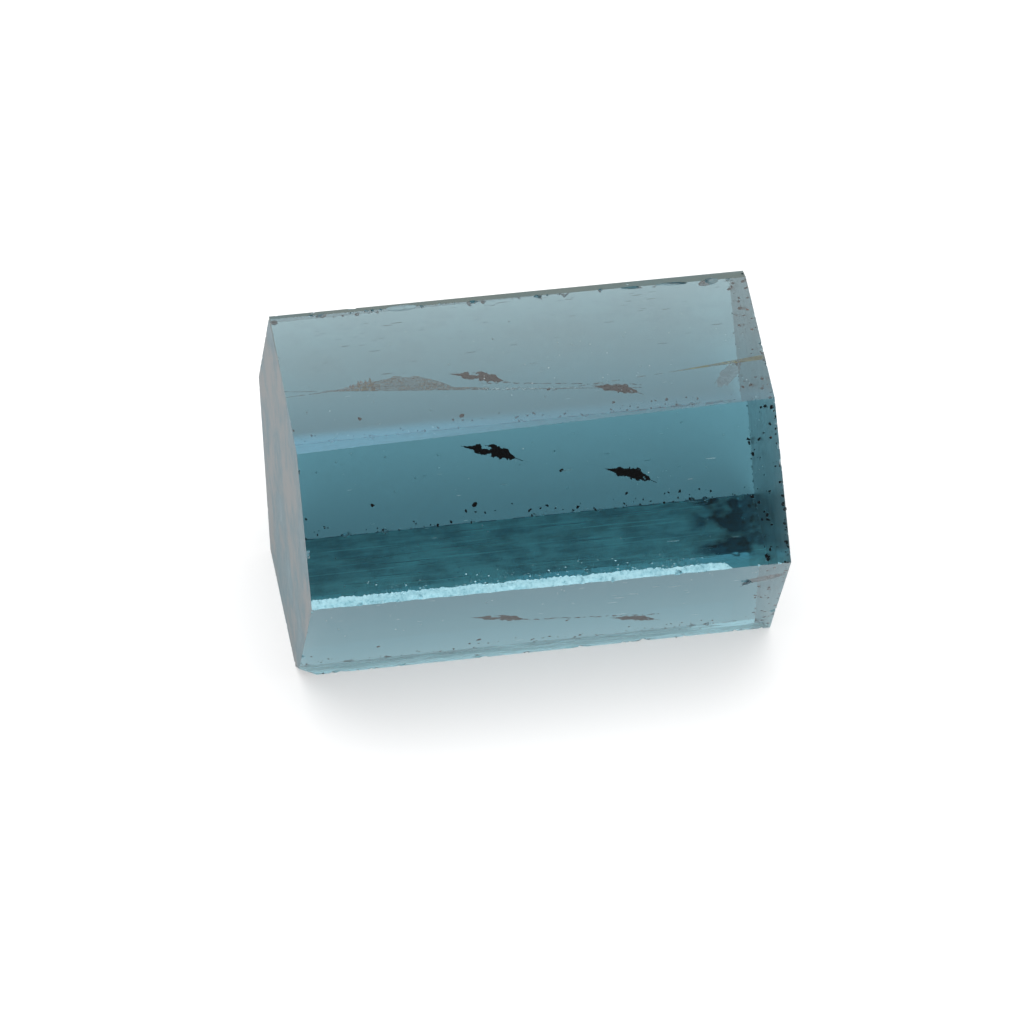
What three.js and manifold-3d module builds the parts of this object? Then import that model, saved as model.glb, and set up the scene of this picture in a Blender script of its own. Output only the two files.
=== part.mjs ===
// A single stubby hexagonal prism of aquamarine, lying on one of its prism faces.
//
// Millimetres, +Z up. X runs along the crystal's long axis, Y runs back across it, and the
// face it rests on is the plane Z = 0. The origin is the centre of the box's underside.
// The crystal grew as one piece, so it is one closed solid: six prism faces, two broken-flat
// ends, a worn strip along the top back edge and one knocked-off corner.

import * as THREE from 'three';
import { mergeVertices } from 'three/addons/utils/BufferGeometryUtils.js';
import Module from 'manifold-3d';

// ---------------------------------------------------------------- driving dimensions
const LENGTH = 25.0;          // end to end, along the prism
const END_LEAN = 0.014;       // both ends lean this much towards +X for each unit of height

// The prism's six long edges, each as [back, up] in the plane across the crystal.
const BASE_FRONT = [-4.7, 0.0];
const BASE_BACK = [5.5, 0.0];
const BELLY_BACK = [9.95, 8.2];
const TOP_BACK = [5.95, 15.75];
const TOP_FRONT = [-4.2, 14.85];
const BELLY_FRONT = [-9.8, 9.1];

// The upper front face isn't quite parallel to the prism: it falls back towards the +X end.
const FRONT_FACE_FALL = 0.35;

// A worn strip along the top back edge, wider at the +X end.
const WORN_SETBACK_LEFT = 0.3;
const WORN_SETBACK_RIGHT = 0.7;
const WORN_TILT = 24;         // degrees, the strip's tilt back from the top face

// The corner knocked off the front base edge at the -X end.
const CORNER_RUN = 1.0;       // along the edge
const CORNER_RISE = 0.5;      // across the edge, at the end face
const CORNER_FACING = [-0.6, -0.8];  // [back, up] direction that the knocked-off corner faces

const CUTTER = 60;            // side of the blocks that cut the flats, larger than the crystal

const wasm = await Module();
wasm.setup();

// ---------------------------------------------------------------- helpers
function toSolid(geometry) {
  const bare = geometry.clone();
  bare.deleteAttribute('normal');
  bare.deleteAttribute('uv');
  const merged = mergeVertices(bare, 1e-5);
  return new wasm.Manifold(new wasm.Mesh({
    numProp: 3,
    vertProperties: new Float32Array(merged.attributes.position.array),
    triVerts: new Uint32Array(merged.index.array),
  }));
}

function toGeometry(solid) {
  const mesh = solid.getMesh();
  const geometry = new THREE.BufferGeometry();
  geometry.setAttribute('position', new THREE.BufferAttribute(mesh.vertProperties, 3));
  geometry.setIndex(new THREE.BufferAttribute(mesh.triVerts, 1));
  return geometry;
}

// A block that fills everything beyond the plane through `point` facing `normal`.
function beyond(point, normal) {
  const facing = normal.clone().normalize();
  const turn = new THREE.Quaternion().setFromUnitVectors(new THREE.Vector3(0, 0, 1), facing);
  return toSolid(new THREE.BoxGeometry(CUTTER, CUTTER, CUTTER)
    .translate(0, 0, CUTTER / 2)
    .applyQuaternion(turn)
    .translate(point.x, point.y, point.z));
}

// ---------------------------------------------------------------- the prism
function prism() {
  const outline = new THREE.Shape();
  outline.moveTo(...BASE_FRONT);
  outline.lineTo(...BASE_BACK);
  outline.lineTo(...BELLY_BACK);
  outline.lineTo(...TOP_BACK);
  outline.lineTo(...TOP_FRONT);
  outline.lineTo(...BELLY_FRONT);
  outline.closePath();

  const alongX = new THREE.Matrix4().makeBasis(
    new THREE.Vector3(0, 1, 0), new THREE.Vector3(0, 0, 1), new THREE.Vector3(1, 0, 0));
  const lean = new THREE.Matrix4().makeShear(0, 0, 0, 0, END_LEAN, 0);
  return new THREE.ExtrudeGeometry(outline, { depth: LENGTH, bevelEnabled: false })
    .translate(0, 0, -LENGTH / 2)
    .applyMatrix4(alongX)
    .applyMatrix4(lean);
}

// ---------------------------------------------------------------- the upper front face
function frontFall() {
  const corner = new THREE.Vector3(-LENGTH / 2, ...TOP_FRONT);
  const facing = new THREE.Vector3(
    0, BELLY_FRONT[1] - TOP_FRONT[1], TOP_FRONT[0] - BELLY_FRONT[0]).normalize();
  facing.x = FRONT_FACE_FALL / LENGTH;
  return beyond(corner, facing);
}

// ---------------------------------------------------------------- the worn top edge
function wornStrip() {
  const inwards = new THREE.Vector3(0, TOP_FRONT[0] - TOP_BACK[0], TOP_FRONT[1] - TOP_BACK[1])
    .normalize();
  const facing = new THREE.Vector3(0, inwards.z, -inwards.y)
    .applyAxisAngle(new THREE.Vector3(1, 0, 0), -THREE.MathUtils.degToRad(WORN_TILT));
  const edge = new THREE.Vector3(0, ...TOP_BACK);
  const left = edge.clone().addScaledVector(inwards, WORN_SETBACK_LEFT).setX(-LENGTH / 2);
  const right = edge.clone().addScaledVector(inwards, WORN_SETBACK_RIGHT).setX(LENGTH / 2);
  facing.x = -facing.dot(right.clone().sub(left)) / LENGTH;
  return beyond(left, facing);
}

// ---------------------------------------------------------------- the missing corner
function knockedCorner() {
  const onEdge = new THREE.Vector3(CORNER_RUN - LENGTH / 2, ...BASE_FRONT);
  const [back, up] = CORNER_FACING;
  const facing = new THREE.Vector3(-CORNER_RISE, CORNER_RUN * back, CORNER_RUN * up);
  return beyond(onEdge, facing);
}

// ---------------------------------------------------------------- the crystal
const solid = toSolid(prism())
  .subtract(frontFall())
  .subtract(wornStrip())
  .subtract(knockedCorner());
const geometry = toGeometry(solid);
geometry.computeBoundingBox();
const middle = geometry.boundingBox.getCenter(new THREE.Vector3());
geometry.translate(-middle.x, -middle.y, -geometry.boundingBox.min.z);

const aquamarine = new THREE.MeshStandardMaterial({
  color: new THREE.Color(0.42, 0.66, 0.74), roughness: 0.08, metalness: 0, flatShading: true,
});
const crystal = new THREE.Mesh(geometry, aquamarine);
crystal.name = 'crystal';

const group = new THREE.Group();
group.add(crystal);

export default group;
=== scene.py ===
import math
import random

import bmesh
import bpy
from mathutils import Matrix, Vector, noise


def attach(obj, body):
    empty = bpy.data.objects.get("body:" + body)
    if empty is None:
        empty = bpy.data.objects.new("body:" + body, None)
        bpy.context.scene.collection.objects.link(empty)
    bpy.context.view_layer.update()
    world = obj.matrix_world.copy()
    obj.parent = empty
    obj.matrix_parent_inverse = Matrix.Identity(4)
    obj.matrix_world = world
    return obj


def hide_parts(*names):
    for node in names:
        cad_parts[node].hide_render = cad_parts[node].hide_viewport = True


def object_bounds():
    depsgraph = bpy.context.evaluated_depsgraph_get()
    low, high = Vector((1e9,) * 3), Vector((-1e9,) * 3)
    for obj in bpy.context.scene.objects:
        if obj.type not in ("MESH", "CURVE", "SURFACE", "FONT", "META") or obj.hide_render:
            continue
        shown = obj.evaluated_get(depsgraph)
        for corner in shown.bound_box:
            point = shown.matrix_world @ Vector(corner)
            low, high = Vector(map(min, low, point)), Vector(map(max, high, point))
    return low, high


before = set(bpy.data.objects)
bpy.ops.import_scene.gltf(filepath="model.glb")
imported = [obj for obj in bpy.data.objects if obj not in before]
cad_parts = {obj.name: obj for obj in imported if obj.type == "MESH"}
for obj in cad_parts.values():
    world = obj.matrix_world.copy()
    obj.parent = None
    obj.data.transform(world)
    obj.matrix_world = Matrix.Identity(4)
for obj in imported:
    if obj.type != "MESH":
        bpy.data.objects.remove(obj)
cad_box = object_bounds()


# ---------------------------------------------------------------- camera
# A long lens looks down on the crystal's front and a little round its left end.
MM = 0.001
scene = bpy.context.scene


def add_camera():
    azimuth, elevation = math.radians(-8.9), math.radians(41.0)
    distance, frame_width, sensor = 600 * MM, 53.4 * MM, 36.0
    away = Vector((math.sin(azimuth) * math.cos(elevation),
                   -math.cos(azimuth) * math.cos(elevation), math.sin(elevation)))
    right = Vector((math.cos(azimuth), math.sin(azimuth), 0))
    up = away.cross(right)
    looks_at = Vector((0, 0, 7.7 * MM)) - 0.54 * MM * right - 1.6 * MM * up
    lens = bpy.data.cameras.new("camera")
    lens.sensor_width = sensor
    lens.lens = sensor * distance / frame_width
    lens.clip_start, lens.clip_end = 0.01, 20
    eye = bpy.data.objects.new("camera", lens)
    eye.matrix_world = Matrix.Translation(looks_at + distance * away) @ Matrix(
        (right, up, away)).transposed().to_4x4()
    scene.collection.objects.link(eye)
    scene.camera = eye


add_camera()


# ---------------------------------------------------------------- light and table
# The crystal lies on a white table that glows a little from below, under a broad soft light
# overhead and two smaller ones behind. The room in front of it is dimmer, so its front faces
# look deep.
class Socket:
    """A number in a node tree: an expression on it adds the Math nodes that it needs."""

    def __init__(self, tree, socket):
        self.tree, self.socket = tree, socket

    def math(self, operation, first, second):
        return self.tree.add("ShaderNodeMath", {"operation": operation}, {0: first, 1: second})

    def __add__(self, other):
        return self.math("ADD", self, other)

    def __sub__(self, other):
        return self.math("SUBTRACT", self, other)

    def __rsub__(self, other):
        return self.math("SUBTRACT", other, self)

    def __mul__(self, other):
        return self.math("MULTIPLY", self, other)

    __radd__, __rmul__ = __add__, __mul__


class Tree:
    """Adds nodes to a tree, each with its settings first and then its sockets' values or links."""

    def __init__(self, node_tree):
        self.tree = node_tree

    def add(self, kind, settings=None, inputs=None, out=0):
        node = self.tree.nodes.new(kind)
        for name, value in (settings or {}).items():
            setattr(node, name, value)
        for key, value in (inputs or {}).items():
            self.set(node.inputs[key], value)
        return Socket(self, node.outputs[out]) if len(node.outputs) else node

    def set(self, socket, value):
        if isinstance(value, Socket):
            self.tree.links.new(value.socket, socket)
        else:
            socket.default_value = value

    def ramp(self, value, low, high, start=0.0, end=1.0):
        """Eases from start to end while value goes from low to high."""
        return self.add("ShaderNodeMapRange", {"interpolation_type": "SMOOTHSTEP"}, {
            "Value": value, "From Min": low, "From Max": high, "To Min": start, "To Max": end})

    def noise(self, place, scale, detail=4.0, roughness=0.6):
        return self.add("ShaderNodeTexNoise", {}, {
            "Vector": place, "Scale": scale, "Detail": detail, "Roughness": roughness})

    def blend(self, share, first, second):
        """A colour: the first where share is 0, the second where it is 1."""
        node = self.tree.nodes.new("ShaderNodeMix")
        node.data_type = "RGBA"
        self.set(node.inputs["Factor"], share)
        self.set(node.inputs[6], first)
        self.set(node.inputs[7], second)
        return Socket(self, node.outputs[2])


def softbox(name, azimuth, elevation, distance, size, radiance):
    """A flat light that faces the crystal, of a set brightness whatever its size."""
    light = bpy.data.lights.new(name, "AREA")
    light.shape = "RECTANGLE"
    light.size, light.size_y = size
    light.energy = radiance * math.pi * size[0] * size[1]
    lamp = bpy.data.objects.new(name, light)
    a, e = math.radians(azimuth), math.radians(elevation)
    place = distance * Vector((math.sin(a) * math.cos(e), -math.cos(a) * math.cos(e), math.sin(e)))
    lamp.matrix_world = Matrix.Translation(place) @ place.to_track_quat("Z", "Y").to_matrix().to_4x4()
    scene.collection.objects.link(lamp)


def room(front, back):
    """Light that fades upwards from the horizon, in front to a dark room: (horizon, upper)."""
    world = bpy.data.worlds.new("room")
    world.use_nodes = True
    world.node_tree.nodes.clear()
    tree = Tree(world.node_tree)
    way = tree.add("ShaderNodeTexCoord")
    depth = tree.add("ShaderNodeSeparateXYZ", {}, {0: way}, out="Y")
    height = tree.add("ShaderNodeSeparateXYZ", {}, {0: way}, out="Z")
    behind = tree.ramp(height, 0.12, 0.55, *back)
    before = tree.ramp(height, 0.3, 0.6, *front)
    glow = before + (behind - before) * tree.ramp(depth, -0.5, 0.5)
    shade = tree.add("ShaderNodeBackground", {}, {"Color": (1, 1, 1, 1), "Strength": glow})
    tree.add("ShaderNodeOutputWorld", {}, {"Surface": shade})
    scene.world = world


def new_material(name):
    """An empty material and its tree."""
    material = bpy.data.materials.new(name)
    material.use_nodes = True
    material.node_tree.nodes.clear()
    return material, Tree(material.node_tree)


def add_table(albedo, glow, gap=0.02 * MM, reach=3.0):
    sheet = bpy.data.meshes.new("table")
    corners = [(-reach, -reach), (reach, -reach), (reach, reach), (-reach, reach)]
    sheet.from_pydata([(x, y, -gap) for x, y in corners], [], [(0, 1, 2, 3)])
    table = bpy.data.objects.new("table", sheet)
    scene.collection.objects.link(table)
    white, tree = new_material("white_table")
    surface = tree.add("ShaderNodeBsdfPrincipled", {}, {
        "Base Color": (albedo, albedo, albedo, 1), "Roughness": 0.9, "Specular IOR Level": 0.1,
        "Emission Color": (1, 1, 1, 1), "Emission Strength": glow})
    tree.add("ShaderNodeOutputMaterial", {}, {"Surface": surface})
    sheet.materials.append(white)


room(front=(0.85, 0.14), back=(0.9, 0.74))
softbox("back_light", azimuth=171, elevation=56, distance=0.7, size=(0.44, 0.3), radiance=1.15)
softbox("low_back_light", azimuth=171, elevation=38, distance=0.7, size=(0.6, 0.13), radiance=0.97)
softbox("top_light", azimuth=0, elevation=83, distance=0.7, size=(1.0, 0.84), radiance=2.95)
add_table(albedo=0.48, glow=0.45)
scene.view_settings.view_transform = "Standard"
scene.cycles.max_bounces = 24
scene.cycles.transmission_bounces = 24
scene.cycles.glossy_bounces = 16


# ---------------------------------------------------------------- the crystal
# One prism of clear blue beryl that grew as a single piece. Its long faces are natural growth
# faces, bright and flat. The base it lies on is scratched and dusty, its far end is pitted, and
# knocks have bruised its long edges and crushed the front one to a white powdery band.
LEFT_END, RIGHT_END, END_LEAN = -12.61, 12.39, 0.014
CORNERS = {"base_front": ((-4.775, 0.0), (-4.775, 0.0)), "base_back": ((5.425, 0.0), (5.425, 0.0)),
           "belly_back": ((9.875, 8.2), (9.875, 8.2)), "top_back": ((5.875, 15.75), (5.875, 15.75)),
           "top_front": ((-4.27, 14.85), (-3.74, 14.9)),
           "belly_front": ((-9.875, 9.1), (-9.696, 8.78))}


def corner(name, x):
    """One long edge's y and z in mm, at x: the front face falls back a little to the right."""
    left, right = (Vector(place) for place in CORNERS[name])
    return left.lerp(right, (x - LEFT_END) / (RIGHT_END - LEFT_END))


def spot(x, start, end, along, depth=0.0):
    """A place in mm: on the face between two edges, so far along it and so deep inside it."""
    a, b = corner(start, x), corner(end, x)
    way = (b - a).normalized()
    inward = Vector((-way.y, way.x))
    if inward.dot(Vector((0, 7.7)) - a) < 0:
        inward = -inward
    y, z = a + way * along + inward * depth
    return Vector((x, y, z))


def scatter_tree():
    """Puts one small lumpy grain on each point, turned and sized at random, mostly small."""
    group = bpy.data.node_groups.new("scatter_grains", "GeometryNodeTree")
    numbers = [("Seed", "NodeSocketInt"), ("Least", "NodeSocketFloat"), ("Most", "NodeSocketFloat"),
               ("Length", "NodeSocketFloat"), ("Flatness", "NodeSocketFloat"),
               ("Turn", "NodeSocketFloat")]
    kinds = [("Geometry", "NodeSocketGeometry")] + numbers + [("Material", "NodeSocketMaterial")]
    for name, kind in kinds:
        group.interface.new_socket(name=name, in_out="INPUT", socket_type=kind)
    group.interface.new_socket(name="Geometry", in_out="OUTPUT", socket_type="NodeSocketGeometry")
    tree = Tree(group)
    given = group.nodes.new("NodeGroupInput")
    value = {name: Socket(tree, given.outputs[name]) for name, kind in kinds}
    grain = tree.add("GeometryNodeMeshIcoSphere", {}, {"Radius": 1.0, "Subdivisions": 1})
    lump = tree.add("ShaderNodeTexNoise", {}, {"Scale": 1.3, "Detail": 3.0}, out="Color")
    lump = tree.add("ShaderNodeVectorMath", {"operation": "SUBTRACT"}, {0: lump, 1: (0.5, 0.5, 0.5)})
    lump = tree.add("ShaderNodeVectorMath", {"operation": "SCALE"}, {0: lump, "Scale": 3.4})
    rough = tree.add("GeometryNodeSetPosition", {}, {"Geometry": grain, "Offset": lump})
    draw = tree.add("FunctionNodeRandomValue", {"data_type": "FLOAT"}, {
        2: 0.0, 3: 1.0, "Seed": value["Seed"]}, out=1)
    size = value["Least"] + (value["Most"] - value["Least"]) * draw * draw * draw
    shape = tree.add("ShaderNodeCombineXYZ", {}, {
        0: size * value["Length"], 1: size, 2: size * value["Flatness"]})
    most = tree.add("ShaderNodeCombineXYZ", {}, {
        0: value["Turn"], 1: value["Turn"], 2: value["Turn"]})
    least = tree.add("ShaderNodeVectorMath", {"operation": "SCALE"}, {0: most, "Scale": -1.0})
    turn = tree.add("FunctionNodeRandomValue", {"data_type": "FLOAT_VECTOR"}, {
        0: least, 1: most, "Seed": value["Seed"] + 7})
    grains = tree.add("GeometryNodeInstanceOnPoints", {}, {
        "Points": value["Geometry"], "Instance": rough, "Rotation": turn, "Scale": shape})
    solid = tree.add("GeometryNodeRealizeInstances", {}, {"Geometry": grains})
    done = tree.add("GeometryNodeSetMaterial", {}, {
        "Geometry": solid, "Material": value["Material"]})
    tree.add("NodeGroupOutput", {}, {"Geometry": done})
    return group


SCATTER = scatter_tree()


def scatter(name, places, material, seed, least, most, length=1.0, flatness=1.0, turn=3.14):
    """A mesh of grains, one at each place in mm, from the scatter tree."""
    points = bpy.data.meshes.new(name)
    points.from_pydata([place * MM for place in places], [], [])
    carrier = bpy.data.objects.new(name, points)
    scene.collection.objects.link(carrier)
    scattering = carrier.modifiers.new("scatter", "NODES")
    scattering.node_group = SCATTER
    wanted = {"Seed": seed, "Least": least * MM, "Most": most * MM, "Length": length,
              "Flatness": flatness, "Turn": turn, "Material": material}
    for item in SCATTER.interface.items_tree:
        if item.in_out == "INPUT" and item.name in wanted:
            scattering[item.identifier] = wanted[item.name]
    bpy.context.view_layer.update()
    evaluated = carrier.evaluated_get(bpy.context.evaluated_depsgraph_get())
    mesh = bpy.data.meshes.new_from_object(evaluated)
    bpy.data.objects.remove(carrier)
    mesh.name = name
    return mesh


def finished_mesh(form, name):
    mesh = bpy.data.meshes.new(name)
    form.to_mesh(mesh)
    form.free()
    return mesh


def crushed_band():
    """The ragged wedge of stone that is lost along the front edge, as a closed cutter."""
    form = bmesh.new()
    rings = []
    steps, first, last = 460, -12.75, 9.45
    for i in range(steps + 1):
        x = first + (last - first) * i / steps
        share = (x + 12.4) / 21.8
        coarse = noise.noise(Vector((x * 0.9, 3.1, 0)))
        fine = noise.noise(Vector((x * 5.5, 7.7, 0)))
        torn = noise.noise(Vector((x * 9, 2.2, 0)))
        swell = 0.05 * math.sin(math.pi * min(1, max(0, share)))
        upper = 0.47 - 0.15 * share + swell + 0.07 * coarse + 0.05 * fine + 0.07 * torn
        lower = 0.07 + 0.1 * noise.noise(Vector((x * 1.6, 1.3, 5))) + 0.05 * fine
        fade = min(1.0, (last - x) / 0.4)
        upper, lower = max(0.02, upper * fade), max(0.012, lower * fade)
        above = spot(x, "belly_front", "top_front", upper)
        middle = spot(x, "belly_front", "top_front", upper * 0.45, 0.05 * fade)
        below = spot(x, "belly_front", "base_front", lower)
        out_above = spot(x, "belly_front", "top_front", upper + 0.2, -0.4)
        out_below = spot(x, "belly_front", "base_front", lower + 0.2, -0.4)
        rings.append([form.verts.new(p * MM) for p in (above, middle, below, out_below, out_above)])
    for near, far in zip(rings, rings[1:]):
        for j in range(5):
            form.faces.new((near[j], near[(j + 1) % 5], far[(j + 1) % 5], far[j]))
    form.faces.new(list(reversed(rings[0])))
    form.faces.new(rings[-1])
    bmesh.ops.recalc_face_normals(form, faces=form.faces)
    return finished_mesh(form, "crushed_band")


def chip_places(seed):
    """Where the small knocks are: along each long edge, and round the two ends."""
    draw = random.Random(seed)
    usual_gaps = [("base_front", "belly_front", 0.42), ("base_back", "belly_back", 0.55),
                  ("belly_back", "top_back", 0.5), ("belly_front", "base_front", 0.7)]
    places = []
    for start, end, gap in usual_gaps:
        x = LEFT_END + 0.3
        while x < RIGHT_END - 0.2:
            places.append(spot(x, start, end, draw.uniform(-0.02, 0.05), -0.025))
            x += gap * draw.uniform(0.5, 1.6)
    x = LEFT_END + 0.4
    while x < RIGHT_END:
        setback = 0.3 + 0.4 * (x - LEFT_END) / 25
        places.append(spot(x, "top_back", "top_front", setback + draw.uniform(-0.06, 0.06), -0.03))
        places.append(spot(x + 0.2, "top_back", "belly_back", draw.uniform(0.0, 0.1), -0.02))
        x += draw.uniform(0.25, 0.9)
    names = list(CORNERS)
    for end_x, outward in ((LEFT_END, -1), (RIGHT_END, 1)):
        for start, end in zip(names, names[1:] + names[:1]):
            span = (corner(end, end_x) - corner(start, end_x)).length
            step = draw.uniform(0.2, 0.5)
            while step < span - 0.3:
                place = spot(end_x, start, end, step, -0.02)
                place.x = end_x + END_LEAN * place.z + outward * draw.uniform(-0.02, 0.02)
                places.append(place)
                step += draw.uniform(0.3, 1.1) if outward > 0 else draw.uniform(0.5, 2.2)
    return places


# Each larger flake that has come off: its place and its half-lengths in mm.
FLAKES = [
    (spot(-5.5, "top_back", "top_front", 0.3, -0.02), (0.85, 0.4, 0.16)),
    (spot(-9.8, "top_back", "top_front", 0.34, -0.02), (0.4, 0.22, 0.08)),
    (spot(-1.7, "top_back", "top_front", 0.5, -0.02), (0.35, 0.16, 0.08)),
    (spot(6.4, "top_back", "top_front", 0.62, -0.04), (0.8, 0.2, 0.1)),
    (spot(8.6, "top_back", "top_front", 0.66, -0.04), (0.9, 0.24, 0.12)),
    (spot(10.9, "top_back", "top_front", 0.7, -0.02), (0.9, 0.3, 0.14)),
    (spot(-8.2, "top_back", "belly_back", 0.1, -0.02), (0.6, 0.12, 0.12)),
    (spot(1.3, "top_back", "belly_back", 0.1, -0.02), (0.7, 0.1, 0.1)),
    (spot(4.0, "top_back", "belly_back", 0.1, -0.02), (0.5, 0.12, 0.1)),
    (spot(-6.84, "belly_front", "top_front", 0.1, -0.02), (0.16, 0.16, 0.16)),
    (spot(3.37, "belly_front", "base_front", 0.06, 0.0), (0.3, 0.1, 0.12)),
    (spot(-11.6, "base_front", "belly_front", 0.12, -0.04), (0.25, 0.12, 0.12)),
    (spot(-10.4, "base_front", "belly_front", 0.1, -0.02), (0.45, 0.12, 0.16)),
    (spot(-7.15, "base_front", "belly_front", 0.14, -0.02), (0.28, 0.12, 0.16)),
    (spot(-2.9, "base_front", "belly_front", 0.1, -0.02), (0.5, 0.12, 0.14)),
    (spot(2.23, "base_front", "belly_front", 0.12, 0.0), (0.7, 0.14, 0.14)),
    (spot(5.65, "base_front", "belly_front", 0.18, 0.0), (0.18, 0.14, 0.2)),
]


def flake_cutter():
    form = bmesh.new()
    for i, (place, size) in enumerate(FLAKES):
        turn = Matrix.Rotation(0.5 * math.sin(i * 2.3), 4, "Y") @ Matrix.Rotation(0.6 * i, 4, "X")
        at = Matrix.Translation(place * MM) @ turn @ Matrix.Diagonal((*size, 1.0))
        made = bmesh.ops.create_icosphere(form, subdivisions=3, radius=MM, matrix=at)
        for vert in made["verts"]:
            offset = noise.noise_vector(vert.co * 4500 + Vector((i, 0, 0)))
            vert.co += offset * 0.03 * MM
    return finished_mesh(form, "flakes")


def cut_away(mesh, cutters):
    """The mesh with each cutter's solid taken out of it."""
    body = bpy.data.objects.new("cutting", mesh)
    scene.collection.objects.link(body)
    tools = []
    for cutter in cutters:
        tool = bpy.data.objects.new("cutter", cutter)
        scene.collection.objects.link(tool)
        tools.append(tool)
        cut = body.modifiers.new("cut", "BOOLEAN")
        cut.operation, cut.solver, cut.object = "DIFFERENCE", "EXACT", tool
        cut.use_self = True
    bpy.context.view_layer.update()
    evaluated = body.evaluated_get(bpy.context.evaluated_depsgraph_get())
    result = bpy.data.meshes.new_from_object(evaluated)
    for used in [body] + tools:
        bpy.data.objects.remove(used)
    return result


def growth_form():
    """The whole crystal as it grew, and each flat face's normal, centre and kind."""
    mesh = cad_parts["crystal"].data.copy()
    form = bmesh.new()
    form.from_mesh(mesh)
    bmesh.ops.remove_doubles(form, verts=form.verts, dist=0.001 * MM)
    bmesh.ops.dissolve_limit(form, angle_limit=0.002, verts=form.verts, edges=form.edges)
    form.to_mesh(mesh)
    planes = []
    for face in form.faces:
        kind = "face"
        if face.normal.z < -0.99:
            kind = "base"
        elif face.normal.x > 0.9:
            kind = "right_end"
        elif face.normal.x < -0.9:
            kind = "left_end"
        elif face.calc_area() < 30 * MM * MM:
            kind = "worn"
        elif face.normal.z > 0.95:
            kind = "top"
        planes.append((face.normal.copy(), face.calc_center_median().copy(), kind))
    form.free()
    mesh.materials.clear()
    return mesh, planes


# How far each kind of face has each of the finishes, from 0 to 1. The last column is no finish but painted
# shade and a painted blue band on the top face.
FINISH_AND_PAINT_NAMES = ("dusty", "frosted", "ground", "crushed", "painted_top")
FINISHES_AND_PAINT = {"face": (0, 0, 0, 0, 0), "top": (0, 0, 0, 0, 1.0), "base": (1.0, 0, 0, 0, 0),
            "right_end": (0, 0.85, 0, 0, 0), "left_end": (0, 0, 0.94, 0, 0),
            "worn": (0, 0.2, 0.95, 0, 0), "broken": (0, 0.45, 0.15, 0, 0),
            "crushed": (0, 0, 0, 1.0, 0)}


def finish_faces(mesh, planes):
    """Marks each face with its finishes and the top face's painted shade, by the plane that it lies in or
    the cut it came from.
    """
    nearly_flat, band_reach = 0.004 * MM, 0.75 * MM
    finishes = []
    for polygon in mesh.polygons:
        corners = [mesh.vertices[i].co for i in polygon.vertices]
        kind = "broken"
        if all((corner("belly_front", c.x / MM) * MM - c.yz).length < band_reach for c in corners):
            kind = "crushed"
        for normal, centre, plane_kind in planes:
            if all(abs((c - centre).dot(normal)) < nearly_flat for c in corners):
                kind = plane_kind
        finishes.append(FINISHES_AND_PAINT[kind])
    for name, values in zip(FINISH_AND_PAINT_NAMES, zip(*finishes)):
        layer = mesh.attributes.new(name, "FLOAT", "FACE")
        layer.data.foreach_set("value", values)


def crystal_form():
    grown, planes = growth_form()
    chips = scatter("chips", chip_places(41), None, seed=5, least=0.03, most=0.2, length=1.5,
                    flatness=0.8, turn=3.1)
    mesh = cut_away(grown, [chips, crushed_band(), flake_cutter()])
    finish_faces(mesh, planes)
    mesh.name = "aquamarine_crystal"
    return mesh


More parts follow.
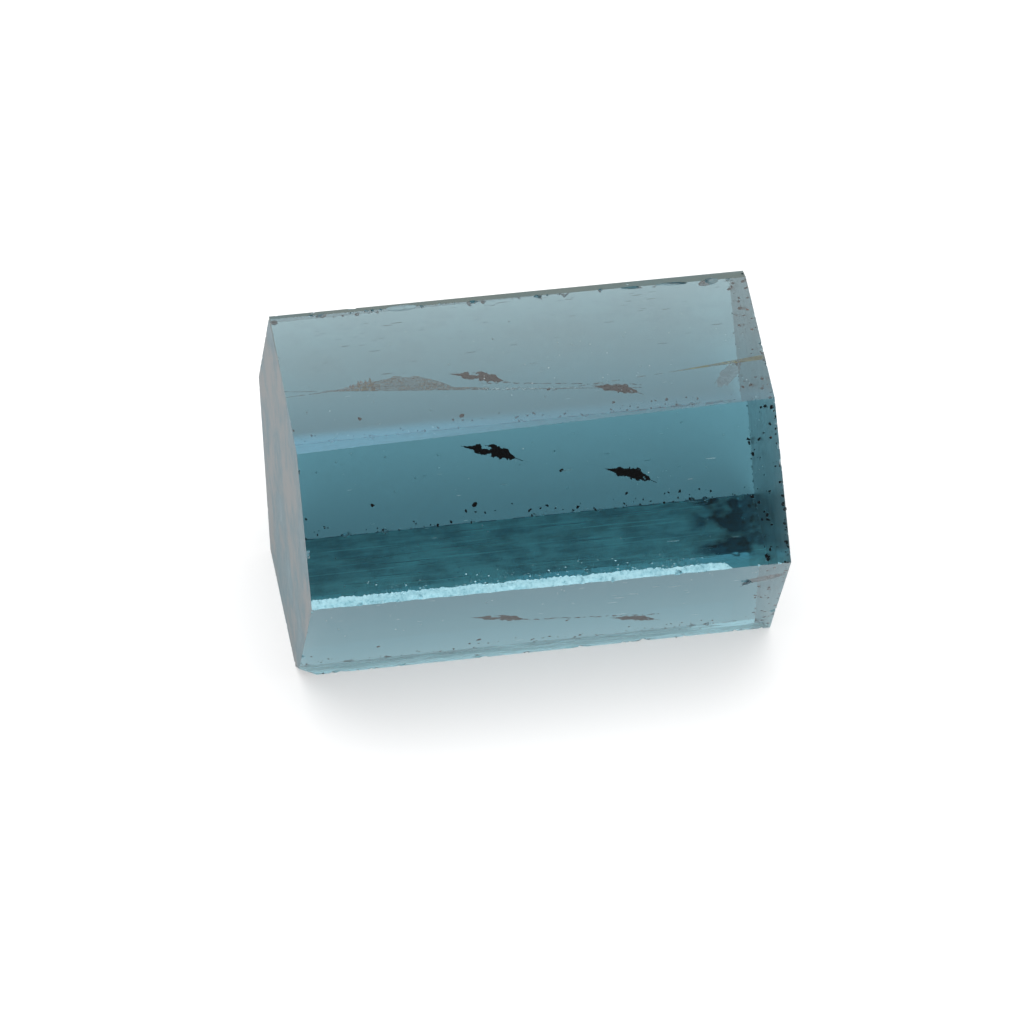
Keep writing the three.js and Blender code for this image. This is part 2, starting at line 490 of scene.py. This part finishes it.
def aquamarine():
    """Clear blue stone, with each finish laid over it where its face has it, and painted shade and a
    painted blue band on its top face.
    """
    material, tree = new_material("aquamarine")
    place = tree.add("ShaderNodeTexCoord", out="Object")
    x, y, z = [tree.add("ShaderNodeSeparateXYZ", {}, {0: place}, out=axis) for axis in "XYZ"]
    dusty, frosted, ground, crushed, painted_top = [
        tree.add("ShaderNodeAttribute", {"attribute_name": name}, {}, out="Fac")
        for name in FINISH_AND_PAINT_NAMES]
    drawn = tree.add("ShaderNodeMapping", {}, {"Vector": place, "Scale": (90, 5200, 5200)})
    drawn_out = tree.add("ShaderNodeMapping", {}, {"Vector": place, "Scale": (420, 1900, 1900)})
    scratches = tree.ramp(tree.noise(drawn, 1.0, 3.0), 0.58, 0.68)
    streaks = tree.noise(drawn_out, 1.0, 5.0, 0.65)
    patches = tree.noise(place, 260.0, 5.0, 0.65)
    broad = tree.noise(place, 480.0, 2.0)
    settled = tree.ramp(streaks * 0.3 + patches * 0.4 + broad * 0.3, 0.38, 0.6, 0.42, 0.92)
    lightly = tree.ramp(y, -4.7 * MM, 0.5 * MM, 0.45, 1.0)
    bare = tree.ramp(x, 8.2 * MM, 9.6 * MM) * tree.ramp(broad * 0.6 + patches * 0.4, 0.42, 0.53)
    bare = bare * tree.ramp(y, 0.1 * MM, 1.2 * MM)
    dust = dusty * lightly * (settled + scratches * 0.35) * (1 - bare * 0.9)
    clear = tree.add("ShaderNodeBsdfPrincipled", {}, {
        "Base Color": (1, 1, 1, 1), "Roughness": 0.0, "IOR": 1.577, "Transmission Weight": 1.0})
    dusting = tree.add("ShaderNodeBsdfPrincipled", {}, {
        "Base Color": (0.4, 0.93, 0.9, 1), "Roughness": 0.5, "IOR": 1.06,
        "Transmission Weight": 0.86})
    frosting = tree.add("ShaderNodeBsdfPrincipled", {}, {
        "Base Color": (0.8, 0.96, 0.98, 1), "Roughness": 0.4, "IOR": 1.577,
        "Transmission Weight": 0.85})
    smudge = tree.blend(tree.ramp(patches, 0.4, 0.62), (0.14, 0.21, 0.24, 1), (0.235, 0.25, 0.255, 1))
    worn_edge = tree.ramp(z, 15.2 * MM, 15.5 * MM, 0.0, 0.85)
    smudge = tree.blend(worn_edge, smudge, (0.07, 0.095, 0.085, 1))
    grinding = tree.add("ShaderNodeBsdfPrincipled", {}, {
        "Base Color": smudge, "Roughness": 0.7, "Specular IOR Level": 0.15})
    grit = tree.noise(place, 5200.0, 4.0, 0.7)
    mealy = tree.ramp(grit * 0.6 + streaks * 0.4, 0.36, 0.6)
    powder_tone = tree.blend(mealy, (0.22, 0.46, 0.54, 1), (0.4, 0.67, 0.75, 1))
    powder = tree.add("ShaderNodeBsdfPrincipled", {}, {
        "Base Color": powder_tone, "Roughness": 0.7, "Specular IOR Level": 0.2,
        "Transmission Weight": 0.2})
    # Painted shade: a dark grey diffuse film laid over the top face, standing in for the shaded table seen
    # through it.
    painted_shade = tree.add("ShaderNodeBsdfPrincipled", {}, {
        "Base Color": (0.14, 0.135, 0.13, 1), "Roughness": 0.9, "Specular IOR Level": 0.1})
    surface = tree.add("ShaderNodeMixShader", {}, {0: dust, 1: clear, 2: dusting})
    surface = tree.add("ShaderNodeMixShader", {}, {
        0: frosted * tree.ramp(patches, 0.35, 0.6, 0.75, 1.0), 1: surface, 2: frosting})
    surface = tree.add("ShaderNodeMixShader", {}, {
        0: ground * tree.ramp(patches, 0.3, 0.5, 0.85, 1.0), 1: surface, 2: grinding})
    surface = tree.add("ShaderNodeMixShader", {}, {
        0: crushed * tree.ramp(grit, 0.3, 0.42, 0.7, 1.0), 1: surface, 2: powder})
    # The painted shade covers none of the top face at its front and about a third of it towards its back
    # edge.
    film = painted_top * tree.ramp(y, -2.5 * MM, 3.0 * MM) * tree.ramp(broad, 0.3, 0.7, 0.27, 0.33)
    surface = tree.add("ShaderNodeMixShader", {}, {0: film, 1: surface, 2: painted_shade})
    # Painted light: a bluish diffuse band along the top face's front edge, strongest at the left, painted
    # in place of the light seen through the face there.
    painted_blue_band = tree.add("ShaderNodeBsdfPrincipled", {}, {
        "Base Color": (0.15, 0.42, 0.6, 1), "Roughness": 0.9, "Specular IOR Level": 0.1})
    blue_band_share = painted_top * tree.ramp(y, -3.5 * MM, -2.65 * MM, 1.0, 0.0) * tree.ramp(x, -12 * MM, 9 * MM, 0.25, 0.06)
    surface = tree.add("ShaderNodeMixShader", {}, {0: blue_band_share, 1: surface, 2: painted_blue_band})
    depth = tree.add("ShaderNodeVolumeAbsorption", {}, {
        "Color": (0.28, 0.58, 0.645, 1), "Density": 200.0})
    tree.add("ShaderNodeOutputMaterial", {}, {"Surface": surface, "Volume": depth})
    return material


def add_piece(mesh, material, name):
    """Adds a finished piece; a crumb that sticks out past the stone's box is worn flat with it."""
    for vertex in mesh.vertices:
        vertex.co = [min(max(c, low), high) for c, low, high in zip(vertex.co, *cad_box)]
    piece = bpy.data.objects.new(name, mesh)
    scene.collection.objects.link(piece)
    mesh.materials.clear()
    mesh.materials.append(material)
    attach(piece, "root")
    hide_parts("crystal")
    return piece


add_piece(crystal_form(), aquamarine(), "aquamarine_crystal")


# ---------------------------------------------------------------- dark leaves
# Two flat leaves of a black mineral that the crystal grew over. They lie just under its back
# face, ragged and full of holes, and a hairline seam with dark specks in it joins them.
def plate(name, length, width, thickness, lay, kept, cell=0.035):
    """A thin closed plate in mm, cut into cells; lay places a point, kept says where stone is."""
    form = bmesh.new()
    columns, rows = int(length / cell), max(2, int(width / cell))
    grid = {}

    def vert(i, j):
        if (i, j) not in grid:
            wander = noise.noise_vector(Vector((i * 0.9, j * 0.9, length))) * cell * 0.45
            u, v = i * cell + wander.x, (j - rows / 2) * cell + wander.y
            grid[i, j] = form.verts.new(lay(u, v) * MM)
        return grid[i, j]

    for i in range(columns):
        for j in range(rows):
            if kept((i + 0.5) / columns, ((j + 0.5) / rows) * 2 - 1):
                form.faces.new((vert(i, j), vert(i + 1, j), vert(i + 1, j + 1), vert(i, j + 1)))
    bmesh.ops.solidify(form, geom=list(form.faces), thickness=thickness * MM)
    bmesh.ops.recalc_face_normals(form, faces=form.faces)
    return finished_mesh(form, name)


def joined(name, meshes):
    form = bmesh.new()
    for mesh in meshes:
        form.from_mesh(mesh)
    return finished_mesh(form, name)


def leaf(name, start, end, width, seed, holes):
    """A leaf under the back face, from one (x, distance up the face) to another, in mm."""
    along = Vector(end) - Vector(start)
    length = along.length
    way = along.normalized()
    across = Vector((-way.y, way.x))

    def lay(u, v):
        bow = 0.16 * math.sin(math.pi * u / length) * math.sin(2.2 * u / length)
        x, up = Vector(start) + way * u + across * (v + bow)
        curl = 0.1 + 0.05 * noise.noise(Vector((u * 2, v * 3, seed)))
        return spot(x, "base_back", "belly_back", up, curl)

    def kept(share, side):
        rough = noise.fractal(Vector((share * 9, side * 1.5, seed)), 0.6, 2.2, 5)
        edge = math.sin(math.pi * min(1, share * 1.15)) ** 0.55 * (0.5 + 0.6 * share)
        if share < 0.22:
            edge *= 0.25 + 2.2 * share
        torn = noise.noise(Vector((share * 34, side * 6, seed)))
        if abs(side) > edge * (0.7 + 0.34 * rough + 0.16 * torn):
            return False
        return all(math.hypot((share - a) * length, (side - b) * width / 2)
                   > r * (1 + rough) + 0.03 * torn for a, b, r in holes)

    return plate(name, length, width, 0.03, lay, kept, cell=0.03)


def seam():
    """The hairline between the leaves: a broken film that stands nearly square to the back face."""
    toward_front = Vector((0, -0.744, 0.668))

    def lay(u, v):
        share = u / 8.4
        wander = 0.05 * noise.noise(Vector((u * 1.2, 0, 9)))
        up = 3.3 - 1.35 * share + wander
        return spot(-1.2 + u, "base_back", "belly_back", up, 0.06) + toward_front * (v + 0.14)

    def kept(share, side):
        return noise.noise(Vector((share * 30, side * 0.5, 4))) > 0.34 * abs(side) - 0.06

    return plate("seam", 8.4, 0.24, 0.016, lay, kept, cell=0.03)


def mottled_mineral(name, grain, spread, dark, light, roughness, specular):
    """Opaque stone, mottled from dark to light; grain is a noise's scale, detail and roughness."""
    material, tree = new_material(name)
    place = tree.add("ShaderNodeTexCoord", out="Object")
    mottle = tree.ramp(tree.noise(place, *grain), *spread)
    surface = tree.add("ShaderNodeBsdfPrincipled", {}, {
        "Base Color": tree.blend(mottle, dark, light), "Roughness": roughness,
        "Specular IOR Level": specular})
    tree.add("ShaderNodeOutputMaterial", {}, {"Surface": surface})
    return material


BLACK = mottled_mineral("black_mineral", (4200.0, 4.0, 0.7), (0.48, 0.66), (0.003, 0.01, 0.012, 1),
                        (0.03, 0.045, 0.048, 1), roughness=0.6, specular=0.12)
leaves = [leaf("leaf", (-2.85, 4.2), (0.35, 3.05), 1.05, 2.0,
               [(0.34, 0.3, 0.1), (0.39, 0.28, 0.09), (0.44, 0.2, 0.07)]),
          leaf("leaf", (4.6, 2.2), (7.3, 1.15), 1.0, 11.0, [(0.74, 0.0, 0.04), (0.77, -0.1, 0.04)]),
          seam()]
add_piece(joined("dark_leaves", leaves), BLACK, "dark_leaves")


# ---------------------------------------------------------------- dark grains
# Crumbs of the same dark mineral and of brown iron ore, stuck in the bruised back edge of the
# base and in the pits of the far end, with a few loose ones deeper in the stone.
def edge_grains(draw):
    places = []
    for _ in range(120):
        x = draw.uniform(-12.2, 12.2)
        places.append(spot(x, "base_back", "belly_back", draw.uniform(0.02, 0.7) ** 1.6, 0.03))
    for _ in range(28):
        x = draw.gauss(3.0, 3.5)
        if -12 < x < 12:
            places.append(spot(x, "base_back", "belly_back", draw.uniform(0.1, 1.0), 0.04))
    for _ in range(30):
        places.append(spot(draw.uniform(-12, 12), "base_front", "belly_front",
                           draw.uniform(0.02, 0.22), 0.03))
    return places


def end_grains(draw):
    places = []
    names = list(CORNERS)
    for start, end in zip(names, names[1:] + names[:1]):
        span = (corner(end, RIGHT_END) - corner(start, RIGHT_END)).length
        count = {"top_front": 46, "belly_front": 22, "top_back": 26}.get(start, 12)
        for _ in range(count):
            place = spot(RIGHT_END, start, end, draw.uniform(0.2, span - 0.2),
                         abs(draw.gauss(0.0, 0.7)) + 0.06)
            place.x = RIGHT_END + END_LEAN * place.z - draw.uniform(0.03, 0.12)
            places.append(place)
    for _ in range(70):
        y, z = draw.uniform(-6, 7), draw.uniform(1, 14)
        places.append(Vector((RIGHT_END + END_LEAN * z - draw.uniform(0.03, 0.3), y, z)))
    return places


def strew(name, places, material, **sizes):
    """Adds one piece of grains, one at each place."""
    add_piece(scatter(name, places, material, **sizes), material, name)


BROWN = mottled_mineral("brown_ore", (1800.0, 3.0, 0.6), (0.42, 0.62), (0.02, 0.012, 0.01, 1),
                        (0.16, 0.06, 0.03, 1), roughness=0.7, specular=0.2)
draw = random.Random(17)
near_edges = edge_grains(draw)
strew("edge_grains", near_edges, BLACK, seed=3, least=0.01, most=0.078, length=1.4, flatness=0.7)
strew("end_grains", end_grains(draw), BLACK, seed=8, least=0.014, most=0.12, length=0.6)
loose = [spot(-7.75, "base_back", "belly_back", 1.5, 0.15),
         spot(-11.3, "base_back", "belly_back", 1.1, 0.1),
         spot(-2.4, "base_back", "belly_back", 1.0, 0.2), spot(2.3, "base_back", "belly_back", 2.4, 0.3),
         spot(12.2, "top_front", "belly_front", 2.0, 0.4),
         spot(12.3, "top_back", "top_front", 4.4, 0.3), spot(12.3, "top_back", "top_front", 3.0, 0.2)]
strew("brown_grains", loose, BROWN, seed=12, least=0.06, most=0.14, flatness=1.5)


# ---------------------------------------------------------------- the healed crack
# A nearly level crack three millimetres under the top face, healed since, but for a rusty fan
# near its left end, a brown veil of fine dust beside it and a string of white specks.
def crack_front(x):
    """The y and z of the crack's front edge in mm."""
    share = (x + 12.4) / 18.6
    return 2.0 - 2.3 * share, 12.4 - 0.2 * share


def level_film(name, first, last, reach, cell, kept):
    """A level film in the crack from x first to last, its back edge reach(share) mm behind."""
    length = last - first
    widest = max(reach(i / 20) for i in range(21))

    def lay(u, v):
        share = min(1, max(0, u / length))
        y, z = crack_front(first + u)
        return Vector((first + u, y + (v / widest + 0.5) * reach(share), z))

    return plate(name, length, widest, 0.012, lay, kept, cell)


def film_material(name, dark, light, grain, least, most):
    """A thin film of stain or dust that covers from least to most of what is behind it."""
    material, tree = new_material(name)
    place = tree.add("ShaderNodeTexCoord", out="Object")
    fine = tree.noise(place, grain, 3.0, 0.7)
    broad = tree.noise(place, 900.0, 3.0)
    colour = tree.blend(tree.ramp(broad, 0.38, 0.62), dark, light)
    cover = tree.ramp(fine * 0.7 + broad * 0.3, 0.4, 0.62, least, most)
    surface = tree.add("ShaderNodeBsdfPrincipled", {}, {
        "Base Color": colour, "Roughness": 0.8, "Specular IOR Level": 0.1, "Alpha": cover})
    tree.add("ShaderNodeOutputMaterial", {}, {"Surface": surface})
    return material


def ragged(seed, low, high):
    """A film's stone is kept up to a ragged back edge."""
    def kept(share, side):
        rough = noise.fractal(Vector((share * 11, side * 2, seed)), 0.7, 2.1, 4)
        return side < high + 0.2 * rough and side > low
    return kept


rust = level_film("rust_fan", -10.0, -7.5, lambda t: 0.08 + 0.95 * min(1, t * 1.35) ** 2.2, 0.035,
                  lambda t, s: s < 0.5 + 0.9 * noise.noise(Vector((t * 22, s * 0.6, 3))))
add_piece(rust, film_material("iron_stain", (0.5, 0.15, 0.06, 1), (0.42, 0.27, 0.12, 1), 5000.0,
                              0.35, 0.95), "rust_fan")
veil = level_film("brown_veil", -7.7, -1.6,
                  lambda t: 0.16 + 1.0 * math.sin(math.pi * min(1, t * 1.25 + 0.12)) ** 0.8
                  if t < 0.7 else 0.3 * (1.1 - t) + 0.12, 0.05, ragged(5, -2, 0.85))
add_piece(veil, film_material("brown_dust", (0.25, 0.155, 0.1, 1), (0.34, 0.22, 0.15, 1), 9000.0,
                              0.35, 0.9), "brown_veil")


def hairline(name, points, width, material, seed, broken):
    """A fine ribbon through points in mm, broken into dashes."""
    total = sum((b - a).length for a, b in zip(points, points[1:]))

    def lay(u, v):
        left = min(max(u, 0), total)
        for a, b in zip(points, points[1:]):
            step = (b - a).length
            if left <= step + 1e-6:
                break
            left -= step
        wander = 0.03 * noise.noise(Vector((u * 1.5, 0, seed)))
        return a.lerp(b, min(1, left / step)) + Vector((0, v, wander))

    def kept(share, side):
        return noise.noise(Vector((share * total * 2.2, 0, seed))) > broken

    add_piece(plate(name, total, width, 0.012, lay, kept, cell=0.03), material, name)


GREY_FILM = film_material("grey_film", (0.1, 0.13, 0.14, 1), (0.2, 0.22, 0.22, 1), 3000.0, 0.35, 0.9)
hairline("end_crack", [spot(11.55, "top_back", "top_front", 0.6, 0.25),
                       spot(11.75, "top_back", "top_front", 1.1, 0.25),
                       spot(11.85, "top_back", "top_front", 3.4, 0.25)], 0.05, GREY_FILM, 13.0, -0.5)
hairline("crack_edge", [Vector((x, *crack_front(x))) for x in (-12.4, -6, 0, 6.2)], 0.07,
         GREY_FILM, 3.0, -0.25)
hairline("upper_hairline", [spot(-12.3, "top_front", "top_back", 4.6, 1.0),
                            spot(-8.5, "top_front", "top_back", 4.7, 1.0),
                            spot(-4.0, "top_front", "top_back", 4.25, 1.0)], 0.05, GREY_FILM, 5.0, -0.3)


WHITE = mottled_mineral("white_crumbs", (600.0, 4.0, 0.6), (0.4, 0.6), (0.75, 0.82, 0.84, 1),
                        (0.95, 0.96, 0.95, 1), roughness=0.35, specular=0.5)
string = []
for _ in range(130):
    x = draw.triangular(-3.6, 4.0, -1.0)
    y, z = crack_front(x)
    string.append(Vector((x, y + draw.gauss(0.03, 0.03), z + draw.gauss(0, 0.02))))
strew("crack_crumbs", string, WHITE, seed=21, least=0.012, most=0.05, length=1.5, flatness=0.8)


# ---------------------------------------------------------------- the open crack
# A wedge-shaped crack that opens at the far end, filled with an olive-yellow clay, a grey veil of
# fluid bubbles beside it, and a darker veil low in the front of the stone.
WEDGE_TIP, WEDGE_LENGTH = 7.6, 5.0


def clay_wedge():
    """A film that is a hair wide at its tip and widens towards the end of the crystal."""
    def lay(u, v):
        share = u / WEDGE_LENGTH
        centre = spot(WEDGE_TIP + u, "top_front", "top_back", 3.45 + 0.3 * share, 1.5)
        return centre + Vector((0, v * (0.05 + share), v * 0.25 * share))

    return plate("clay_wedge", WEDGE_LENGTH, 0.34, 0.02, lay, lambda t, s: True, cell=0.05)


add_piece(clay_wedge(), film_material("olive_clay", (0.2, 0.19, 0.08, 1), (0.36, 0.33, 0.15, 1), 2500.0,
                                 0.55, 0.95), "clay_wedge")
hairline("wedge_tail", [spot(0.5, "top_front", "top_back", 3.1, 1.5),
                        spot(WEDGE_TIP, "top_front", "top_back", 3.45, 1.5)], 0.04, GREY_FILM, 8.0,
         0.02)


def oval_veil(name, middle, along, across, material, seed):
    """An oval film with a ragged edge; along and across are its half-axes in mm."""
    size, width = along.length * 2, across.length * 2

    def lay(u, v):
        return middle + along * (2 * u / size - 1) + across * (v / width * 2)

    def kept(share, side):
        rough = 0.22 * noise.fractal(Vector((share * 5, side * 3, seed)), 0.7, 2.1, 4)
        return math.hypot(share * 2 - 1, side) < 0.92 + rough

    add_piece(plate(name, size, width, 0.012, lay, kept, cell=0.05), material, name)


FAINT_VEIL = film_material("faint_veil", (0.13, 0.16, 0.18, 1), (0.19, 0.21, 0.23, 1), 7000.0,
                           0.4, 0.6)
SMOKY_VEIL = film_material("smoky_veil", (0.02, 0.03, 0.04, 1), (0.06, 0.08, 0.1, 1), 5000.0,
                           0.55, 0.9)
oval_veil("bubble_veil", spot(10.6, "top_front", "top_back", 2.5, 0.9), Vector((0.75, 0.85, 0.1)),
          Vector((0.3, -0.35, 0.02)), FAINT_VEIL, 2.0)
oval_veil("streak_veil", spot(11.2, "belly_front", "base_front", 2.2, 0.12),
          Vector((1.25, 0.12, 0.3)), Vector((0.0, -0.16, 0.36)), SMOKY_VEIL, 7.0)


# ---------------------------------------------------------------- specks
# Bright pinpoints and short healed tubes that run with the crystal's length, dark dashes under
# its top, and the powder and scratches that its base has from being moved. Pale ribbons along its bruised
# back edge are painted glints.
pinpoints = []
for _ in range(240):
    pinpoints.append(Vector((draw.uniform(-11.5, 11.5), draw.uniform(-6, 7), draw.uniform(4, 13.5))))
for _ in range(60):
    pinpoints.append(spot(draw.gauss(2, 3.5), "top_front", "top_back", draw.uniform(2.5, 6.5),
                          draw.uniform(0.1, 1.0)))
for _ in range(50):
    pinpoints.append(Vector((draw.uniform(10.8, 12.2), draw.uniform(-4, 5), draw.uniform(6, 14))))
strew("pinpoints", pinpoints, WHITE, seed=31, least=0.008, most=0.04)
tubes = [Vector((draw.uniform(-11, 11), draw.uniform(-6, 6), draw.uniform(5, 13))) for _ in range(34)]
tubes += [spot(draw.uniform(-10, 10), "base_front", "belly_front", draw.uniform(1, 8), 0.1)
          for _ in range(10)]
strew("healed_tubes", tubes, WHITE, seed=37, least=0.008, most=0.022, length=16.0, turn=0.03)
dashes = [spot(draw.uniform(-11, 12), "top_back", "top_front", 0.7 + 4.5 * draw.random() ** 2, 0.05)
          for _ in range(70)]
strew("dark_dashes", dashes, BLACK, seed=43, least=0.006, most=0.016, length=22.0, turn=0.03)
scratches = [Vector((draw.uniform(-12, 9.5), 5.2 - 5.0 * draw.random(), 0.02)) for _ in range(90)]
strew("base_scratches", scratches, WHITE, seed=47, least=0.006, most=0.024, length=70.0,
      flatness=0.3, turn=0.02)
CHALK = mottled_mineral("pale_dust", (600.0, 4.0, 0.6), (0.4, 0.6), (0.3, 0.55, 0.62, 1),
                        (0.5, 0.76, 0.82, 1), roughness=0.35, specular=0.5)
powder = [Vector((draw.uniform(-12, 10), 0.9 + 2.0 * draw.random() ** 1.6, 0.015)) for _ in range(520)]
powder += [Vector((draw.gauss(7.0, 0.6), draw.gauss(3.0, 0.4), 0.03)) for _ in range(14)]
powder += [Vector((draw.gauss(-6.8, 0.9), draw.gauss(3.6, 0.5), 0.03)) for _ in range(30)]
powder += [spot(draw.uniform(-9.5, 8), "belly_front", "top_front", 0.36 + 0.8 * draw.random() ** 2.5,
                0.0) for _ in range(300)]
strew("base_powder", powder, CHALK, seed=53, least=0.008, most=0.036, length=1.6, flatness=0.15,
      turn=0.1)
# Painted highlights: pale ribbons inside the stone along the chipped back edge of the base stand in for the
# glints that its chips catch.
hairline("edge_glint", [Vector((x, 5.36, 0.04)) for x in (-11.8, 0, 12.2)], 0.06, CHALK, 19.0, -0.05)
hairline("edge_glint_end", [Vector((x, 5.3, 0.07)) for x in (5.5, 9, 12.3)], 0.09, WHITE, 23.0, 0.02)
